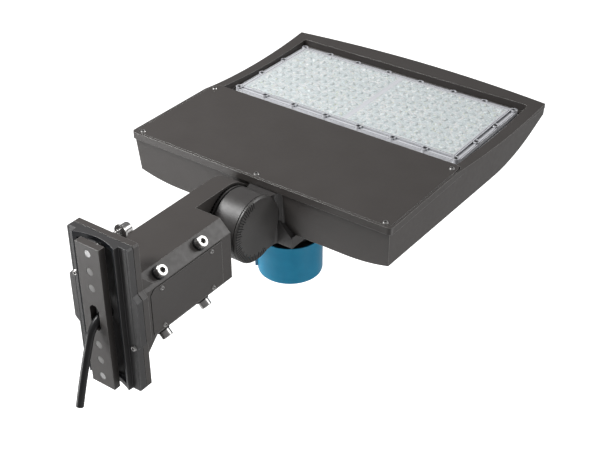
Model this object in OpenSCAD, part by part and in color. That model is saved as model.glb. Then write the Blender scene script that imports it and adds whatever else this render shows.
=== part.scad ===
// Pole-mounted area light on an adjustable arm, drawn lens up.
// Origin: middle of the pole adapter's pole side, X away from the pole, Z up.

/* [Pole end] */
// Height of the pole adapter, the arm flange and the backing bar
adapter_h = 182; // [178:1:190]
// Width of the pole adapter and the arm flange
adapter_w = 83; // [81:1:88]
// Thickness of the adapter's plate behind its lands
adapter_t = 7.6; // [7:0.2:9]
// How far the two ridges stand out toward the pole
ridge_h = 6.2; // [5:0.1:7]
// Distance between the outer sides of the two ridges
ridge_w = 57; // [54:0.5:60]
// Added width on each side at the ears in mid height
ear_w = 6; // [4:0.5:8]
// Height of the ears at full width
ear_h = 56; // [50:1:60]
// Distance between the two pole bolts
pole_bolt_gap = 158; // [154:1:160]
// Thickness of the arm's flange
flange_t = 7.6; // [7:0.2:9]
// Width of the backing bar that goes inside the pole
bar_w = 32; // [28:1:36]
// Thickness of the backing bar
bar_t = 8.5; // [7:0.5:10]

/* [Arm] */
// Outer size of the square arm section
arm_w = 88; // [86:1:90]
// Flat of the four corner chamfers, measured along a side
arm_chamfer = 14; // [12:0.5:15]
// Where the arm's box ends, from the pole side
arm_end_x = 153.5; // [152:0.5:155]
// Wall thickness of the arm
arm_wall = 4.5; // [4:0.5:5.5]
// Distance between the two set bolts of a row
set_bolt_gap = 64.5; // [60:0.5:66]

/* [Knuckle] */
// Distance of the tilt axis from the pole side
axis_x = 210; // [209:0.5:211]
// Radius of the knuckle hub
hub_r = 41; // [40:0.5:41.5]
// Hub's outer end, at the scale disc
hub_y0 = -38; // [-39:0.5:-36]
// Middle plane of the serrated joint
joint_y = 4.2; // [4:0.1:4.5]
// Number of teeth on each serrated face
teeth = 72; // [36:12:72]
// Height of the teeth
tooth_h = 1.8; // [1.2:0.1:2]
// Angle between two marks of the tilt scale
scale_step = 5; // [5:5:15]

/* [Head] */
// Rear rim of the head, from the pole side
rim_x = 250; // [249:0.5:251]
// Height of the head's rim plane above the tilt axis
rim_z = 38; // [37:0.5:39]
// Width of the head across its rear rim
head_w = 380; // [376:1:384]
// Width of the head across its front corners
front_w = 389.6; // [386:0.2:392]
// Length of the head at its corners
head_l = 370; // [366:1:374]
// How far the front edge bows out in the middle
front_bow = 11; // [8:0.5:13]
// Depth of the casting at the edge of its back
side_h = 54.5; // [53:0.5:56]
// How far the back crowns out between its two edges
crown_h = 9.5; // [8:0.5:10]
// How deep the rim is dished beside the lens
dish_h = 5.35; // [4.5:0.05:5.8]
// Length of the driver cover
cover_l = 159.6; // [158:0.2:161]
// Width of the driver cover
cover_w = 372.4; // [370:0.2:374]

/* [Lens] */
// Length of the lens panel, along the head
lens_l = 162; // [160:1:163]
// Width of the lens panel, across the head
lens_w = 340; // [336:1:342]
// Height of the lens panel
lens_t = 7.5; // [7:0.5:8]
// Rows of light chips on each board, along the head
chip_rows = 9; // [6:1:9]
// Columns of light chips on each board, across the head
chip_cols = 13; // [8:1:13]

/* [Light sensor] */
// Radius of the twist-lock sensor's cap
cell_r = 40.75; // [39:0.25:41.5]
// Height of the sensor's cap
cell_h = 52.8; // [50:0.2:55]
// Sensor axis, from the pole side
cell_x = 300; // [298:0.5:302]

/* [Cord] */
// Diameter of the supply cord
cord_d = 9; // [8:0.5:9.5]

/* [Hidden] */
$fn = 48;

// Room that parts need so as not to touch
e = 0.01;
// Pole end
land_y = adapter_w / 2;
flange_x0 = adapter_t + 0.8;
flange_x1 = flange_x0 + flange_t;
arc_r = 65.3;
bar_x1 = -6;
bar_x0 = bar_x1 - bar_t;
pole_bolt_z = pole_bolt_gap / 2;
// Arm
arm_h = arm_w / 2;
set_x0 = 44.5;
window_x0 = 29;
window_x1 = 132;
window_z = 21;
cover_x0 = 23.5;
cover_x1 = 137.5;
cover_z = 28;
// Knuckle
hub_y1 = joint_y - 0.3;
cheek_y0 = joint_y + 0.3;
bolt_r = 6;
// Head, along X from the rear rim and along Z from the rim plane
rear_lean = 0.088;
lip_h = 9;
wall_top = 186.9;
sweep_r = 235;
sweep_a = 25.2;
sweep_x = 245;
bay_x0 = 12;
bay_x1 = 153;
bay_y = 180;
bay_floor = -60;
front_x0 = 168;
front_x1 = 345;
recess_x0 = 163;
recess_x1 = 355;
recess_y = 177.5;
plate_top = -15;
plate_t = 4;
lens_x0 = 182;
lens_z0 = -14;
cover_x = 3.2;
cover_t = 3;
mid_y = (hub_y0 + 4) / 2;
shoe_z = -hub_r;
shoe_r = 39.5;
back_z = rim_z - side_h - crown_h;
cell_z1 = -57.6;
cell_z0 = cell_z1 - cell_h;

// Route of the cord: straight out of the bushing, round a bend through the
// bar's slot, and down to its cut end
cord_bend = 32;
cord_route = concat(
  [[6, 0, -1]],
  [for (a = [0 : 8 : 64]) [4 - cord_bend * sin(a), 0, -1 - cord_bend * (1 - cos(a))]],
  [for (t = [1 / 6 : 1 / 6 : 1]) [-24.76 - 26.24 * t * (1.15 - 0.15 * t), 0, -18.97 - 76.03 * t]]
);

bronze = [0.31, 0.30, 0.28];
black = [0.13, 0.13, 0.14];
steel = [0.75, 0.75, 0.73];
rubber = [0.08, 0.08, 0.08];
clear = [0.84, 0.87, 0.88];
blue = [0.20, 0.50, 0.68];

// ---- Shared shapes ----

// A profile drawn in Y and Z, drawn out along X
module along_x(x0, x1) {
  translate([x0, 0, 0]) rotate([90, 0, 90]) linear_extrude(x1 - x0) children();
}

// A profile drawn in X and Z, drawn out along Y
module along_y(y0, y1) {
  translate([0, y1, 0]) rotate([90, 0, 0]) linear_extrude(y1 - y0) children();
}

// A profile drawn in radius and Y, turned round an axis along Y
module round_y(x, z = 0) {
  translate([x, 0, z]) rotate([-90, 0, 0]) rotate_extrude() children();
}

module rod_y(x, z, r, y0, y1) {
  translate([x, y0, z]) rotate([-90, 0, 0]) cylinder(r = r, h = y1 - y0);
}

module rod_x(y, z, r, x0, x1) {
  translate([x0, y, z]) rotate([0, 90, 0]) cylinder(r = r, h = x1 - x0);
}

module rod_z(x, y, r, z0, z1) {
  translate([x, y, z0]) cylinder(r = r, h = z1 - z0);
}

// A rectangle from corner to corner with round corners
module round_rect(x0, y0, x1, y1, r) {
  translate([x0 + r, y0]) square([x1 - x0 - 2 * r, y1 - y0]);
  translate([x0, y0 + r]) square([x1 - x0, y1 - y0 - 2 * r]);
  for (x = [x0 + r, x1 - r]) {
    for (y = [y0 + r, y1 - r]) {
      translate([x, y]) circle(r);
    }
  }
}

module slab(x0, y0, x1, y1, r, z0, z1) {
  translate([0, 0, z0]) linear_extrude(z1 - z0) round_rect(x0, y0, x1, y1, r);
}

// Cap screw along +Z, its shank's end at zero, with a hexagon socket
module cap_screw(d, shank, head_d, head_h, key) {
  difference() {
    union() {
      cylinder(d = d, h = shank + e);
      translate([0, 0, shank]) cylinder(d = head_d, h = head_h - 0.8);
      translate([0, 0, shank + head_h - 0.8])
        cylinder(d1 = head_d, d2 = head_d - 1.2, h = 0.8);
    }
    translate([0, 0, shank + head_h * 0.4]) cylinder(d = key / cos(30), h = head_h, $fn = 6);
  }
}

// Low round screw along +Z, its shank's end at zero, with a hexagon socket
module pan_screw(d, shank, head_d, head_h) {
  difference() {
    union() {
      cylinder(d = d, h = shank + e);
      translate([0, 0, shank]) cylinder(d1 = head_d, d2 = head_d * 0.72, h = head_h);
    }
    translate([0, 0, shank + head_h * 0.3]) cylinder(d = head_d * 0.5, h = head_h, $fn = 6);
  }
}

// Places children, drawn along +Z, pointing out of the arm's near chamfers.
// The child's zero lies the depth d below the chamfer's face.
module on_chamfers(d) {
  m = arm_h - arm_chamfer / 2;
  for (x = [set_x0, set_x0 + set_bolt_gap]) {
    for (s = [1, -1]) {
      translate([x, -m + d * sqrt(0.5), s * (m - d * sqrt(0.5))])
        rotate([90 - s * 45, 0, 0])
          children();
    }
  }
}

// ---- Pole end ----

// Outline of the adapter and flange seen from the pole, ears in mid height
module plate_outline(inset = 0) {
  w = land_y - inset;
  h = adapter_h / 2 - inset;
  q = ear_h / 2;
  half = [
    [w - 2, -h], [w, -h + 2], [w, -q - ear_w], [w + ear_w, -q],
    [w + ear_w, q], [w, q + ear_w], [w, h - 2], [w - 2, h]
  ];
  polygon(concat(half, [for (i = [7 : -1 : 0]) [-half[i][0], half[i][1]]]));
}

module plate_stack(x0, x1, inset = 0) {
  along_x(x0, x1) plate_outline(inset);
}

module pole_adapter() {
  r = ridge_w / 2;
  color(bronze)
    difference() {
      union() {
        plate_stack(0, adapter_t);
        translate([0, 0, -adapter_h / 2])
          linear_extrude(adapter_h)
            polygon([
              [e, -r - 0.8], [0, -r - 0.8], [-ridge_h, -r], [-ridge_h, r],
              [0, r + 0.8], [e, r + 0.8]
            ]);
      }
      // Hollow that nests on a round pole, with a deeper channel between its
      // two end walls
      translate([0.3 - arc_r, 0, -adapter_h / 2 - 1])
        cylinder(r = arc_r, h = adapter_h + 2, $fn = 96);
      translate([-arc_r * 0.3, -r + 4.5, -adapter_h / 2 + 6])
        cube([arc_r * 0.3 + 4, ridge_w - 9, adapter_h - 12]);
      for (z = [-pole_bolt_z, pole_bolt_z]) {
        rod_x(0, z, 4.5, -20, 20);
      }
      // Cable hole
      rod_x(0, -1, 9, -5, 20);
      for (s = [1, -1]) {
        rod_x(s * 37, s * 33, 2.1, -1, 20);
      }
      // Grooves along the lands
      for (s = [1, -1]) {
        translate([-1, s * (land_y - 2.5) - 0.4, -adapter_h / 2 - 1])
          cube([1.4, 0.8, adapter_h + 2]);
      }
    }
}

module flange_gasket() {
  color(rubber)
    difference() {
      plate_stack(adapter_t, flange_x0, 1.5);
      for (z = [-pole_bolt_z, pole_bolt_z]) {
        rod_x(0, z, 5, -20, 20);
      }
      rod_x(0, -1, 12, -5, 20);
      for (s = [1, -1]) {
        rod_x(s * 37, s * 33, 2.3, -1, 20);
      }
    }
}

module backing_bar() {
  h = adapter_h / 2;
  color(bronze)
    difference() {
      translate([bar_x0, -bar_w / 2, -h]) cube([bar_t, bar_w, adapter_h - 2]);
      for (z = [-pole_bolt_z, pole_bolt_z]) {
        rod_x(0, z, 4.05, bar_x0 - 5, bar_x1 + 5);
      }
      // Drill starts for other pole bolt spacings
      for (z = [-57, -36.5, 36.5, 57]) {
        rod_x(0, z, 4.5, bar_x0 - 5, bar_x0 + 2.5);
      }
      // Slot for the supply cord
      translate([bar_x0 - 5, 0, 0])
        rotate([90, 0, 90])
          linear_extrude(bar_t + 10)
            round_rect(-6.5, -17, 6.5, 15, 6.4);
    }
}

module pole_bolts() {
  color(steel)
    for (z = [-pole_bolt_z, pole_bolt_z]) {
      translate([bar_x0 + 0.2, 0, z]) rotate([0, 90, 0]) cap_screw(8, 37 - bar_x0 - 0.2, 13, 8, 6);
    }
}

// Flat washer and split lock washer under each pole bolt's head
module pole_bolt_washers() {
  color(steel)
    for (z = [-pole_bolt_z, pole_bolt_z]) {
      difference() {
        union() {
          rod_x(0, z, 8.5, 32.8, 34.4);
          rod_x(0, z, 6.6, 34.4, 37);
        }
        rod_x(0, z, 4.2, 30, 40);
        translate([34.6, -1, z]) cube([3, 2, 10]);
      }
    }
}

module adapter_screws() {
  color(steel)
    for (s = [1, -1]) {
      translate([flange_x1 - 1, s * 37, s * 33])
        rotate([0, -90, 0])
          pan_screw(4, flange_x1 - 1, 7, 2.2);
    }
}

// ---- Arm ----

// Square section with chamfered corners
module arm_section(h, c) {
  polygon([
    [-h + c, -h], [h - c, -h], [h, -h + c], [h, h - c],
    [h - c, h], [-h + c, h], [-h, h - c], [-h, -h + c]
  ]);
}

// Cheek behind the joint: a disc with a bevelled rim, joined to the box
module cheek_form() {
  r = arm_h;
  c = arm_chamfer;
  round_y(axis_x)
    polygon([[0, cheek_y0], [r, cheek_y0], [r, arm_h - c], [r - c, arm_h], [0, arm_h]]);
  intersection() {
    along_x(arm_end_x - 8, axis_x) arm_section(arm_h, arm_chamfer);
    translate([arm_end_x - 8, cheek_y0, -arm_h])
      cube([axis_x - arm_end_x + 8, arm_h, arm_w]);
  }
}

// Ring of straight radial teeth that stand up from a face at height 0
module tooth_ring(r0, r1, h) {
  b = r0 * sin(180 / teeth) * 0.96;
  for (i = [0 : teeth - 1]) {
    rotate([0, 0, i * 360 / teeth])
      along_x(r0, r1 - 0.4) polygon([[-b, -0.8], [b, -0.8], [b, 0.05], [0, h], [-b, 0.05]]);
  }
}

module arm_body() {
  w = arm_wall;
  color(bronze) {
    difference() {
      union() {
        difference() {
          union() {
            plate_stack(flange_x0, flange_x1);
            along_x(flange_x1 - 1, arm_end_x) arm_section(arm_h, arm_chamfer);
            // Flared foot that carries the box onto the flange
            along_y(-arm_h + 3, arm_h - 3)
              polygon([
                [flange_x1 - 1, -arm_h - 5], [flange_x1, -arm_h - 5],
                [flange_x1 + 15, -arm_h + 10], [flange_x1 + 15, arm_h - 10],
                [flange_x1, arm_h + 5], [flange_x1 - 1, arm_h + 5]
              ]);
            cheek_form();
          }
          // Inside of the box
          along_x(flange_x1 + 4, arm_end_x - w) arm_section(arm_h - w, arm_chamfer - w * 0.4);
        }
        // Bosses for the set bolts
        on_chamfers(16) cylinder(r = 8, h = 13);
      }
      rod_x(0, -1, 12, 0, 40);
      // Access window in the near side, with a rebate for its cover
      along_y(-arm_h - 5, -arm_h + w + 1)
        round_rect(window_x0, -window_z, window_x1, window_z, 4);
      along_y(-arm_h - 5, -arm_h + 2) access_outline(0.6);
      access_screw_places() rod_y(0, 0, 1.6, -arm_h, -arm_h + w + 2);
      // Wire way from the box into the cheek, and round the pivot bolt
      translate([arm_end_x - w - 2, 14, -11]) cube([axis_x - arm_end_x - 12, 14, 22]);
      rod_y(axis_x, 0, 19, 14, 28);
      rod_y(axis_x, 0, 15, 0, 15);
      rod_y(axis_x, 0, bolt_r + 0.05, 27, 45);
      // Seat for the pivot bolt's head and washer
      rod_y(axis_x, 0, 12.5, 33, 45);
      // Round recess that the cheek's teeth stand in
      rod_y(axis_x, 0, hub_r + 0.4, 0, cheek_y0 + tooth_h);
      for (z = [-pole_bolt_z, pole_bolt_z]) {
        rod_x(0, z, 4.5, -20, 30);
      }
      for (s = [1, -1]) {
        rod_x(s * 37, s * 33, 2.02, -1, 30);
      }
      on_chamfers(30) cylinder(r = 4.05, h = 40);
    }
    translate([axis_x, cheek_y0 + tooth_h, 0])
      rotate([90, 0, 0])
        tooth_ring(32, hub_r, tooth_h);
  }
}

module access_screw_places() {
  for (x = [40, 120.5]) {
    for (z = [-24, 24]) {
      translate([x, 0, z]) children();
    }
  }
}

// Outline of the arm's access cover, with one corner cut back
module access_outline(gap = 0) {
  g = gap;
  polygon([
    [cover_x0 - g, -cover_z - g], [cover_x1 + g, -cover_z - g],
    [cover_x1 + g, cover_z + g], [cover_x0 + 5 - g, cover_z + g],
    [cover_x0 - g, cover_z - 5 + g]
  ]);
}

module arm_access_cover() {
  color(bronze)
    difference() {
      along_y(-arm_h - 0.6, -arm_h + 1.2) access_outline();
      access_screw_places() rod_y(0, 0, 1.8, -arm_h - 3, -arm_h + 3);
    }
}

module arm_access_gasket() {
  color(rubber)
    difference() {
      along_y(-arm_h + 1.2, -arm_h + 2)
        round_rect(cover_x0 + 1, -cover_z + 1, cover_x1 - 1, cover_z - 3, 3);
      along_y(-arm_h, -arm_h + 3) round_rect(window_x0, -window_z, window_x1, window_z, 4);
      access_screw_places() rod_y(0, 0, 1.8, -arm_h - 3, -arm_h + 3);
    }
}

module access_cover_screws() {
  color(steel)
    access_screw_places()
      translate([0, -arm_h + 5.4, 0]) rotate([90, 0, 0]) pan_screw(3, 6, 5.6, 1.6);
}

module arm_set_bolts() {
  color(steel) on_chamfers(16) cap_screw(8, 17.4, 13, 8, 6);
}

module arm_set_washers() {
  color(steel)
    on_chamfers(0)
      difference() {
        cylinder(r = 7.6, h = 1.4);
        translate([0, 0, -1]) cylinder(r = 4.2, h = 4);
      }
}

module pivot_bolt() {
  color(steel)
    translate([axis_x, -20, 0]) rotate([-90, 0, 0]) cap_screw(2 * bolt_r, 55, 18, 8, 10);
}

module pivot_washer() {
  color(steel)
    difference() {
      rod_y(axis_x, 0, 12, 33, 35);
      rod_y(axis_x, 0, bolt_r + 0.1, 30, 40);
    }
}

module pivot_nut() {
  color(steel)
    difference() {
      translate([axis_x, -18.4, 0])
        rotate([-90, 0, 0])
          cylinder(d = 19 / cos(30), h = 10, $fn = 6);
      rod_y(axis_x, 0, bolt_r + 0.02, -30, 0);
    }
}

// Three lever connectors that join the supply to the head's wires
module wire_connectors() {
  color([0.8, 0.45, 0.2])
    for (i = [0 : 2]) {
      translate([58 + i * 20, 5, -arm_h + arm_wall + 0.3])
        difference() {
          union() {
            translate([0, 0, 0]) cube([16, 20, 8]);
            translate([1, 8, 8 - e]) cube([14, 10, 3]);
          }
          for (x = [4.5, 11.5]) {
            translate([x, -1, 4]) rotate([-90, 0, 0]) cylinder(r = 2, h = 9);
          }
        }
    }
}

// Rubber bushing in the adapter's cable hole
module cord_bushing() {
  color(rubber)
    difference() {
      union() {
        rod_x(0, -1, 8.9, 4.2, flange_x1);
        rod_x(0, -1, 11.5, flange_x0, flange_x1 + 2);
      }
      // Wide where the cord's jacket ends, narrow for its wires
      rod_x(0, -1, 3, 0, 40);
      rod_x(0, -1, cord_d / 2 + 0.2, 0, 6);
    }
}

// Tube swept along a route of points, with flat ends
function unit(v) = v / norm(v);
function way(q, i) =
  unit(q[min(i + 1, len(q) - 1)] - q[max(i - 1, 0)]);
function ring(q, i, r, n) =
  let (t = way(q, i), u = unit(cross([0, 1, 0], t)), w = cross(t, u))
    [for (k = [0 : n - 1]) q[i] + r * (cos(k * 360 / n) * u + sin(k * 360 / n) * w)];

module tube(q, r, n) {
  m = len(q);
  p = [for (i = [0 : m - 1]) each ring(q, i, r, n)];
  side = [
    for (i = [0 : m - 2])
      for (k = [0 : n - 1])
        let (a = i * n + k, b = i * n + (k + 1) % n)
          each [[a, b, b + n], [a, b + n, a + n]]
  ];
  ends = [
    [for (k = [0 : n - 1]) n - 1 - k],
    [for (k = [0 : n - 1]) (m - 1) * n + k]
  ];
  polyhedron(points = p, faces = concat(side, ends), convexity = 4);
}

module supply_cord() {
  color(rubber) tube(cord_route, cord_d / 2 - 0.1, 12);
}

// ---- Knuckle ----

module knuckle_bracket() {
  r = hub_r;
  m = mid_y;
  color(black) {
    difference() {
      union() {
        // Hub: toothed ring, groove, bevelled barrel
        round_y(axis_x)
          polygon([
            [0, hub_y1 - tooth_h], [r, hub_y1 - tooth_h], [r, 0.4], [r - 2, 0.4],
            [r - 2, -0.8], [r - 1.4, -0.8], [r, -2.2], [r, -33.4], [0, -33.4]
          ]);
        // Neck, flared where it meets the head's rear wall
        intersection() {
          along_y(-80, 50)
            polygon([
              [axis_x, -r], [wall_x(back_z), -r], [wall_x(back_z), back_z],
              [wall_x(28), 28], [rim_x - 12, 28], [rim_x - 20, 33], [axis_x, 33]
            ]);
          translate([0, 0, -60]) linear_extrude(120) neck_plan(hub_y0 + 4.6, 1.6);
        }
        // Shoe: a flange on the rear wall with slanted shoulders, and a pad
        // under the back
        intersection() {
          along_y(m - shoe_r - 5, m + shoe_r + 5)
            polygon([
              [rim_x, shoe_z], [wall_x(back_z), shoe_z], [wall_x(back_z), back_z],
              [wall_x(-9), -9], [rim_x + 1.5, -9], [rim_x, -10.5]
            ]);
          along_x(rim_x - 5, rim_x + 20)
            polygon([
              [m - shoe_r, shoe_z - 5], [m + shoe_r, shoe_z - 5],
              [m + shoe_r, back_z - 2], [m + shoe_r - 20, back_z + 18],
              [m - shoe_r + 20, back_z + 18], [m - shoe_r, back_z - 2]
            ]);
        }
        translate([0, 0, shoe_z])
          linear_extrude(back_z - shoe_z) {
            translate([rim_x + 1, m - shoe_r]) square([cell_x - rim_x - 1, 2 * shoe_r]);
            translate([cell_x, m]) circle(shoe_r);
          }
      }
      // Room for the arm's cheek on one side and the scale cap on the other
      rod_y(axis_x, 0, arm_h + 2, hub_y1, 60);
      rod_y(axis_x, 0, r + 0.6, -70, -33.4);
      // Room for the pivot nut and the wires
      rod_y(axis_x, 0, 29, -40, -8);
      rod_y(axis_x, 0, bolt_r + 0.05, -10, 5);
      for (a = [60, 120, 240, 300]) {
        rod_y(axis_x + 11.5 * cos(a), 11.5 * sin(a), 3, -10, 5);
      }
      // Wire way through the neck into the head
      rod_x(m, 0, 9, axis_x + 20, rim_x + 20);
      // Hole for the sensor's wires
      rod_z(cell_x, m, 14, shoe_z - 5, back_z + 5);
      bracket_bolt_places() translate([0, 0, shoe_z + 4]) cylinder(r = 3.02, h = 20);
      receptacle_screw_places() translate([0, 0, shoe_z - 1]) cylinder(r = 2.02, h = 11);
    }
    translate([axis_x, hub_y1 - tooth_h, 0]) rotate([-90, 0, 0]) tooth_ring(32, hub_r, tooth_h);
  }
}

// Outer face of the head's leaning rear wall at a height above the tilt axis
function wall_x(z) = rim_x + 3 + rear_lean * (rim_z - lip_h - z);

// Neck seen from above, between its two sides, with hollow flares at the head
module neck_plan(y0, y1) {
  f = 10;
  x1 = rim_x + 12;
  flare = [for (a = [0 : 15 : 75]) [rim_x - f + 4 + f * sin(a), f - f * cos(a)]];
  polygon(concat(
    [[axis_x, y0]], [for (p = flare) [p[0], y0 - p[1]]], [[x1, y0 - f], [x1, y1 + f]],
    [for (i = [len(flare) - 1 : -1 : 0]) [flare[i][0], y1 + flare[i][1]]], [[axis_x, y1]]
  ));
}

module bracket_bolt_places() {
  for (p = [[271, mid_y - 31], [271, mid_y + 31], [322, mid_y - 25], [322, mid_y + 25]]) {
    translate([p[0], p[1], 0]) children();
  }
}

module bracket_bolts() {
  color(steel)
    bracket_bolt_places()
      translate([0, 0, shoe_z + 5])
        cap_screw(6, rim_z + bay_floor - shoe_z - 5, 10, 6, 5);
}

// Cap on the hub's end with the tilt scale cut round its rim
module index_cap() {
  r = hub_r;
  color(black)
    difference() {
      union() {
        round_y(axis_x)
          polygon([
            [0, hub_y0], [r - 1.8, hub_y0], [r, hub_y0 + 1.8],
            [r, -34.4], [r - 1.6, -34.4], [r - 1.6, -33.4], [0, -33.4]
          ]);
        // Lip that plugs into the hub
        round_y(axis_x) polygon([[25, -33.5], [28.9, -33.5], [28.9, -28], [25, -28]]);
      }
      for (a = [100 : scale_step : 290]) {
        translate([axis_x, 0, 0])
          rotate([0, -a, 0])
            translate([r - 8.5 - (a % 15 == 0 ? 2.5 : 0), hub_y0 - 1, -0.5])
              cube([20, 1.9, 1]);
      }
    }
}

// ---- Head ----

// Crowned section of the back, drawn in Y and Z with the edge level at zero,
// its round sides in short flats
module crown() {
  c = crown_h;
  b = 125;
  k = 210;
  side = [for (a = [2 : 2 : 22]) [b + k * sin(a), k - c - k * cos(a)]];
  polygon(concat(
    [[-b, -c], [b, -c]], side, [[205, 60], [-205, 60]],
    [for (i = [len(side) - 1 : -1 : 0]) [-side[i][0], side[i][1]]]
  ));
}

// The section swept straight, round a bend and straight on to the front edge.
// A lift moves the whole surface up, for the inside of the casting.
module swept_back(lift = 0) {
  r = sweep_r - lift;
  zc = sweep_r - side_h;
  translate([0, 0, -side_h + lift]) along_x(-20, sweep_x) crown();
  translate([sweep_x, 0, zc])
    rotate([-90, 0, 0])
      rotate([0, 0, 90 - sweep_a])
        rotate_extrude(angle = sweep_a, $fn = 180)
          translate([r, 0])
            rotate([0, 0, 90])
              crown();
  translate([sweep_x, 0, zc])
    rotate([0, -sweep_a, 0])
      translate([0, 0, -r])
        along_x(0, 70)
          crown();
}

// Space between the two leaning side walls and behind the leaning rear wall
module wall_space(inset = 0) {
  w = wall_top - inset;
  intersection() {
    translate([3 - rear_lean * lip_h + inset, -250, 0])
      rotate([0, -atan(rear_lean), 0])
        translate([0, 0, -200])
          cube([600, 500, 400]);
    translate([0, w, 0])
      rotate([-atan(0.049), 0, atan(0.0212)])
        translate([-200, -600, -200])
          cube([900, 600, 400]);
    translate([0, -w, 0])
      rotate([atan(0.049), 0, -atan(0.0212)])
        translate([-200, 0, -200])
          cube([900, 600, 400]);
  }
}

// Rim outline seen from above, its front edge a shallow bow of short flats
module rim_outline() {
  w = head_w / 2;
  f = front_w / 2;
  rb = (f * f + front_bow * front_bow) / (2 * front_bow);
  front = [
    for (i = [-8 : 8])
      let (y = -f * i / 8)
        [head_l + front_bow - rb + sqrt(rb * rb - y * y), -y]
  ];
  polygon(concat([[6, w], [0, w - 6], [0, 6 - w], [6, -w], [170, -w]], front, [[170, w]]));
  for (s = [1, -1]) {
    translate([6, s * (w - 6)]) circle(6);
  }
}

// Outer form of the casting
module head_form() {
  dish_r = (104 * 104 + dish_h * dish_h) / (2 * dish_h);
  intersection() {
    difference() {
      translate([0, 0, -90]) linear_extrude(90) rim_outline();
      // Dished top of the front half
      along_y(-230, 230)
        intersection() {
          translate([267, dish_r - dish_h - 2.15]) circle(dish_r, $fn = 360);
          translate([120, -20]) square([300, 40]);
        }
    }
    swept_back();
    union() {
      wall_space();
      translate([-10, -300, -lip_h]) cube([600, 600, lip_h + 10]);
    }
  }
}

module bay_screw_places() {
  for (p = [[8, -177.5], [8, 0], [8, 177.5], [151, -179.6], [151, 179.6]]) {
    translate([p[0], p[1], 0]) children();
  }
}

module lens_screw_places() {
  x0 = lens_x0 + 4;
  x1 = lens_x0 + lens_l - 5;
  for (y = [25.5, 76, 122.5, 166]) {
    for (s = [1, -1]) {
      for (x = [x0, x1]) {
        translate([x, s * y, 0]) children();
      }
    }
  }
  for (x = [x0 + (x1 - x0) / 3, x0 + 2 * (x1 - x0) / 3]) {
    for (s = [1, -1]) {
      translate([x, s * 166, 0]) children();
    }
  }
}

module head_housing() {
  color(bronze)
    translate([rim_x, 0, rim_z])
      difference() {
        union() {
          difference() {
            head_form();
            // Rebate that the driver cover lies in
            slab(
              cover_x - 0.8, -cover_w / 2 - 0.8, recess_x0 + 3, cover_w / 2 + 0.8,
              10, -cover_t - 0.6, 5
            );
            // Driver bay
            intersection() {
              slab(bay_x0, -bay_y, bay_x1, bay_y, 8, -70, 5);
              swept_back(4);
            }
            // Recess that the lens panel lies in
            slab(recess_x0, -recess_y, recess_x1, recess_y, 5, lens_z0, 10);
            // Space behind the light boards' plate, and a seat for the plate
            intersection() {
              translate([front_x0, -172, -70]) cube([front_x1 - front_x0, 344, 80]);
              swept_back(4.5);
            }
            translate([front_x0 - 2, -174, plate_top - plate_t])
              cube([front_x1 - front_x0 + 4, 348, 20]);
          }
          // Screw bosses in the driver bay
          intersection() {
            bay_screw_places() translate([0, 0, -70]) cylinder(r = 6, h = 70 - cover_t - 0.6);
            wall_space(1);
            swept_back(2);
          }
          // Ribs and screw bosses that carry the light boards' plate
          intersection() {
            union() {
              for (y = [-90, 0, 90]) {
                translate([front_x0 - 1, y - 1.6, -70])
                  cube([front_x1 - front_x0 + 2, 3.2, 70 + plate_top - plate_t]);
              }
              led_plate_screw_places()
                translate([0, 0, -70])
                  cylinder(r = 5, h = 70 + plate_top - plate_t);
            }
            swept_back(2);
          }
        }
        led_plate_screw_places() translate([0, 0, plate_top - 14]) cylinder(r = 2.02, h = 20);
        bay_screw_places() translate([0, 0, -24]) cylinder(r = 2.02, h = 30);
        // Wire ways: neck, sensor, light boards
        rod_x(mid_y, -rim_z, 9, -5, 30);
        rod_z(cell_x - rim_x, mid_y, 14, -80, -50);
        rod_x(45, -30, 8, 145, 180);
        translate([-rim_x, 0, -rim_z])
          bracket_bolt_places()
            translate([0, 0, -60]) cylinder(r = 3.4, h = 60);
      }
}

module driver_cover() {
  color(bronze)
    translate([rim_x, 0, rim_z])
      difference() {
        slab(cover_x, -cover_w / 2, cover_x + cover_l, cover_w / 2, 9.4, -cover_t, 0);
        bay_screw_places() translate([0, 0, -10]) cylinder(r = 2.3, h = 20);
      }
}

module cover_gasket() {
  color(rubber)
    translate([rim_x, 0, rim_z])
      difference() {
        slab(
          cover_x + 1, -cover_w / 2 + 1, cover_x + cover_l - 2, cover_w / 2 - 1,
          8, -cover_t - 0.6, -cover_t
        );
        slab(bay_x0 + 2, -bay_y + 2, bay_x1 - 2, bay_y - 2, 8, -10, 5);
        bay_screw_places() translate([0, 0, -10]) cylinder(r = 2.3, h = 20);
      }
}

module cover_screws() {
  color(steel)
    translate([rim_x, 0, rim_z])
      bay_screw_places() translate([0, 0, -14]) pan_screw(4, 14, 7.4, 1.6);
}

// Aluminium plate that the light boards lie on
module led_plate() {
  color([0.6, 0.6, 0.6])
    translate([rim_x, 0, rim_z])
      difference() {
        translate([front_x0 - 1.6, -173.6, plate_top - plate_t])
          cube([front_x1 - front_x0 + 3.2, 347.2, plate_t]);
        rod_z(front_x0 + 8, 0, 4, -40, 0);
        led_plate_screw_places() translate([0, 0, -30]) cylinder(r = 2.02, h = 40);
        lens_screw_places() translate([0, 0, plate_top - 3.2]) cylinder(r = 1.52, h = 10);
      }
}

// Down the middle, between the two light boards
module led_plate_screw_places() {
  for (x = [200, 263, 326]) {
    translate([x, 0, 0]) children();
  }
}

module led_plate_screws() {
  color(steel)
    translate([rim_x, 0, rim_z])
      led_plate_screw_places() translate([0, 0, plate_top - 12]) pan_screw(4, 12, 6.4, 1.4);
}

module led_boards() {
  x0 = lens_x0 + 10;
  x1 = lens_x0 + lens_l - 10;
  color([0.93, 0.93, 0.9])
    translate([rim_x, 0, rim_z])
      for (s = [1, -1]) {
        translate([x0, s > 0 ? 5 : -160, plate_top]) cube([x1 - x0, 155, 1.6]);
      }
}

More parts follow.
